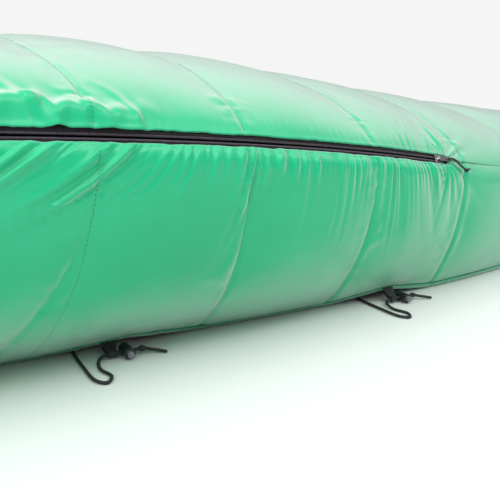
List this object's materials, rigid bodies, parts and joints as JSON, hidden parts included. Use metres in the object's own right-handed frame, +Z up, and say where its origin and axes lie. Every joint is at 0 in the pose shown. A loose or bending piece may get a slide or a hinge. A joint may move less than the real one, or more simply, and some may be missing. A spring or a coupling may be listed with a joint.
{
  "type": "camp quilt",
  "caption": "Lofted camp bed quilt in sewn-through down chambers, with a curved side zip, a closed rounded footbox, open underside and elastic pad cords with cord locks.",
  "frame": {"origin": "on the floor under the middle of the quilt's box, pad cords left out", "axes": "+X towards the foot, +Y away from the zip side, +Z up; the near side with the zip is -Y"},
  "size_m": [1.97, 0.7857, 0.2928],
  "materials": {
    "shell_nylon": "satin mint-green nylon",
    "lining_nylon": "charcoal taffeta nylon",
    "down_fill": "down held by the shell and lining",
    "zip_tape_black": "woven black tape",
    "zip_coil_grey": "dark nylon coil",
    "zip_metal": "satin die-cast metal",
    "thin_cord_black": "braided thin cord",
    "webbing_black": "black grosgrain webbing",
    "elastic_black": "braided elastic cord",
    "lock_plastic_black": "fine-textured black nylon",
    "plunger_plastic_grey": "fine-textured grey nylon",
    "spring_steel": "drawn spring wire"
  },
  "bodies": {
    "quilt": {"down_foot_11": "down_fill", "down_foot_12": "down_fill", "down_foot_end": "down_fill", "down_footbox_floor": "down_fill", "down_side_01": "down_fill", "down_side_02": "down_fill", "down_side_03": "down_fill", "down_side_04": "down_fill", "down_side_05": "down_fill", "down_side_06": "down_fill", "down_side_07": "down_fill", "down_side_08": "down_fill", "down_side_09": "down_fill", "down_side_10": "down_fill", "down_top_01": "down_fill", "down_top_02": "down_fill", "down_top_03": "down_fill", "down_top_04": "down_fill", "down_top_05": "down_fill", "down_top_06": "down_fill", "down_top_07": "down_fill", "down_top_08": "down_fill", "down_top_09": "down_fill", "down_top_10": "down_fill", "draft_tube": "lining_nylon", "hem_binding_far": "shell_nylon", "hem_binding_near": "shell_nylon", "lining_foot_end": "lining_nylon", "lining_footbox_floor": "lining_nylon", "lining_side": "lining_nylon", "lining_top": "lining_nylon", "neck_binding_side": "shell_nylon", "neck_binding_top": "shell_nylon", "pad_cord_1": "elastic_black", "pad_cord_2": "elastic_black", "shell_foot_end": "shell_nylon", "shell_footbox_floor": "shell_nylon", "shell_side": "shell_nylon", "shell_top": "shell_nylon", "strap_loop_far_1": "webbing_black", "strap_loop_far_2": "webbing_black", "strap_tab_1": "webbing_black", "strap_tab_2": "webbing_black", "zip_coil_lower": "zip_coil_grey", "zip_coil_upper": "zip_coil_grey", "zip_stop_foot": "zip_metal", "zip_stop_head": "zip_metal", "zip_tape_lower": "zip_tape_black", "zip_tape_upper": "zip_tape_black"},
    "zip_slider_foot": {"zip_slider_foot": "zip_metal"},
    "zip_slider_head": {"zip_slider_head": "zip_metal"},
    "zip_pull_foot": {"zip_pull_foot": "zip_metal", "zip_pull_cord": "thin_cord_black"},
    "zip_pull_head": {"zip_pull_head": "zip_metal"},
    "cord_lock_1": {"cord_lock_body_1": "lock_plastic_black", "cord_lock_spring_1": "spring_steel"},
    "cord_lock_2": {"cord_lock_body_2": "lock_plastic_black", "cord_lock_spring_2": "spring_steel"},
    "cord_lock_plunger_1": {"cord_lock_plunger_1": "plunger_plastic_grey"},
    "cord_lock_plunger_2": {"cord_lock_plunger_2": "plunger_plastic_grey"}
  },
  "joints": [
    {"name": "zip_foot_slide", "type": "hinge", "parent": "quilt", "child": "zip_slider_foot", "pos_m": [-0.19, 1.60786, -0.9425], "axis": [0, 0.5, 0.866], "range_deg": [-16.4, 0]},
    {"name": "zip_head_slide", "type": "hinge", "parent": "quilt", "child": "zip_slider_head", "pos_m": [-0.19, 1.60786, -0.9425], "axis": [0, 0.5, 0.866], "range_deg": [0, 17.1]},
    {"name": "zip_foot_pull_swing", "type": "hinge", "parent": "zip_slider_foot", "child": "zip_pull_foot", "pos_m": [0.47925, -0.3017, 0.15999], "axis": [0, -0.5, -0.866], "range_deg": [0, 150]},
    {"name": "zip_head_pull_swing", "type": "hinge", "parent": "zip_slider_head", "child": "zip_pull_head", "pos_m": [-0.96344, -0.27195, 0.14281], "axis": [0, 0.5, 0.866], "range_deg": [0, 150]},
    {"name": "cord_lock_1_slide", "type": "slide", "parent": "quilt", "child": "cord_lock_1", "axis": [1, 0, 0], "range_m": [0, 0.005]},
    {"name": "cord_lock_1_press", "type": "slide", "parent": "cord_lock_1", "child": "cord_lock_plunger_1", "axis": [0, 1, 0], "range_m": [0, 0.003], "stiffness_N_per_m": 250, "springref_m": -0.003},
    {"name": "cord_lock_2_slide", "type": "slide", "parent": "quilt", "child": "cord_lock_2", "axis": [1, 0, 0], "range_m": [0, 0.005]},
    {"name": "cord_lock_2_press", "type": "slide", "parent": "cord_lock_2", "child": "cord_lock_plunger_2", "axis": [0, 1, 0], "range_m": [0, 0.003], "stiffness_N_per_m": 250, "springref_m": -0.003}
  ]
}
